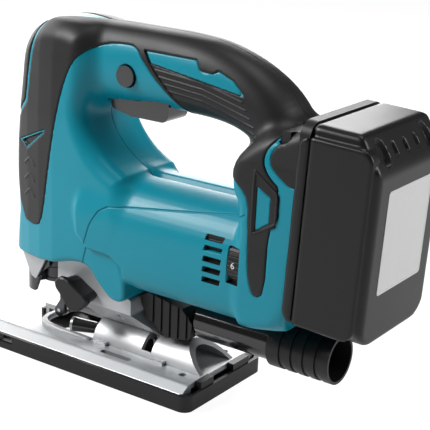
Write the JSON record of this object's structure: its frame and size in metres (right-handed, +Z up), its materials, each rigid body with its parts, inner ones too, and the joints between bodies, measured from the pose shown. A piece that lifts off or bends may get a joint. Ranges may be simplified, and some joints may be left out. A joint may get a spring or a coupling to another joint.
{
  "type": "cordless jigsaw",
  "caption": "Cordless top-handle jigsaw with a bevelling base, reciprocating plunger, blade roller, orbital lever, trigger, speed dial, dust port and sliding battery pack.",
  "frame": {"origin": "middle of the tool's footprint, on the plane the sole rests on", "axes": "+X towards the battery, -X towards the blade, +Y to the tool's right side, +Z up"},
  "size_m": [0.266, 0.077, 0.2069],
  "materials": {
    "teal_plastic": "fine texture",
    "black_rubber": "satin",
    "black_plastic": "satin",
    "gloss_black": "gloss",
    "battery_grey": "fine texture",
    "cast_alloy": "die cast",
    "plate_alloy": "satin",
    "pressed_steel": "brushed",
    "gear_steel": "ground",
    "dark_steel": "blackened",
    "zinc_steel": "plated",
    "bronze": "sintered",
    "copper": "enamelled wire",
    "cell_wrap": "shrink wrap",
    "board_green": "solder mask",
    "clear_lens": "clear"
  },
  "bodies": {
    "tool": {"left_housing": "teal_plastic", "right_housing": "teal_plastic", "left_grip": "black_rubber", "right_grip": "black_rubber", "gear_housing": "cast_alloy", "motor_bracket": "cast_alloy", "front_bearing": "gear_steel", "rear_bearing": "gear_steel", "motor_stator": "gear_steel", "motor_windings": "copper", "crank_axle": "gear_steel", "upper_bushing": "bronze", "lower_bushing": "bronze", "opener_pin": "zinc_steel", "guard_plates": "pressed_steel", "holder_pin": "zinc_steel", "switch_body": "black_plastic", "dial_axle": "zinc_steel", "controller": "board_green", "terminal_block": "black_plastic", "terminal_blades": "bronze", "led_lamps": "clear_lens", "housing_screws": "zinc_steel", "dust_elbow": "black_plastic", "dust_duct": "gloss_black", "clamp_bolt": "zinc_steel"},
    "base": {"cover_plate": "black_plastic", "base_plate": "plate_alloy", "bevel_arch": "pressed_steel", "lever_pin": "zinc_steel"},
    "clamp_lever": {"clamp_lever": "pressed_steel", "clamp_knob": "gloss_black", "knob_cap": "zinc_steel"},
    "rotor": {"rotor_shaft": "gear_steel", "rotor_core": "gear_steel", "pinion": "gear_steel", "cooling_fan": "black_plastic"},
    "crank": {"crank_gear": "gear_steel", "crank_pin": "gear_steel", "crank_roller": "gear_steel"},
    "plunger": {"plunger": "gear_steel", "blade_clamp": "dark_steel"},
    "tool_opener": {"tool_opener": "gloss_black"},
    "roller_holder": {"roller_holder": "dark_steel", "roller_pin": "zinc_steel"},
    "blade_roller": {"blade_roller": "gear_steel"},
    "orbital_lever": {"orbital_lever": "gloss_black", "orbital_shaft": "zinc_steel"},
    "trigger": {"trigger": "gloss_black"},
    "lock_button": {"lock_button": "gloss_black"},
    "speed_dial": {"speed_dial": "black_plastic"},
    "dust_nozzle": {"dust_nozzle": "black_plastic"},
    "battery": {"battery_lower_case": "battery_grey", "battery_upper_case": "black_plastic", "battery_cells": "cell_wrap", "battery_board": "board_green"},
    "battery_button": {"battery_button": "black_rubber"}
  },
  "joints": [
    {"name": "base_bevel", "type": "hinge", "parent": "tool", "child": "base", "pos_m": [0, 0, 0.0095], "axis": [1, 0, 0], "range_deg": [-45, 45]},
    {"name": "clamp_lever_swing", "type": "hinge", "parent": "base", "child": "clamp_lever", "pos_m": [-0.05, 0, 0.016], "axis": [0, 0, -1], "range_deg": [0, 50]},
    {"name": "rotor_spin", "type": "hinge", "parent": "tool", "child": "rotor", "pos_m": [0, 0, 0.087], "axis": [1, 0, 0], "continuous": true},
    {"name": "crank_spin", "type": "hinge", "parent": "tool", "child": "crank", "pos_m": [-0.072, 0, 0.111], "axis": [1, 0, 0], "continuous": true},
    {"name": "plunger_stroke", "type": "slide", "parent": "tool", "child": "plunger", "axis": [0, 0, 1], "range_m": [-0.013, 0.013]},
    {"name": "tool_opener_swing", "type": "hinge", "parent": "tool", "child": "tool_opener", "pos_m": [-0.12, 0, 0.0525], "axis": [0, 1, 0], "range_deg": [0, 28], "stiffness_Nm_per_rad": 0.02, "springref_deg": -17.19},
    {"name": "roller_holder_swing", "type": "hinge", "parent": "tool", "child": "roller_holder", "pos_m": [-0.0925, 0, 0.06], "axis": [0, 1, 0], "range_deg": [-4, 0], "stiffness_Nm_per_rad": 0.6, "springref_deg": 4.58},
    {"name": "blade_roller_spin", "type": "hinge", "parent": "roller_holder", "child": "blade_roller", "pos_m": [-0.0966, 0, 0.0195], "axis": [0, 1, 0], "continuous": true},
    {"name": "orbital_lever_turn", "type": "hinge", "parent": "tool", "child": "orbital_lever", "pos_m": [-0.067, -0.025, 0.046], "axis": [0, -1, 0], "range_deg": [0, 36]},
    {"name": "trigger_pull", "type": "slide", "parent": "tool", "child": "trigger", "axis": [0, 0, 1], "range_m": [0, 0.005], "stiffness_N_per_m": 500, "springref_m": -0.002},
    {"name": "lock_button_push", "type": "slide", "parent": "tool", "child": "lock_button", "axis": [0, 1, 0], "range_m": [0, 0.003], "stiffness_N_per_m": 400, "springref_m": -0.001},
    {"name": "speed_dial_turn", "type": "hinge", "parent": "tool", "child": "speed_dial", "pos_m": [0.05, -0.0181, 0.0925], "axis": [1, 0, 0], "range_deg": [-250, 0]},
    {"name": "dust_nozzle_pull", "type": "slide", "parent": "tool", "child": "dust_nozzle", "axis": [1, 0, 0], "range_m": [0, 0.02]},
    {"name": "battery_slide", "type": "slide", "parent": "tool", "child": "battery", "axis": [0.0482, 0, 0.9988], "range_m": [0, 0.1]},
    {"name": "battery_button_press", "type": "slide", "parent": "battery", "child": "battery_button", "axis": [-0.0482, 0, -0.9988], "range_m": [0, 0.003], "stiffness_N_per_m": 400, "springref_m": -0.001}
  ],
  "couplings": [
    {"joint": "crank_spin", "follows": "rotor_spin", "ratio": -0.26316}
  ]
}
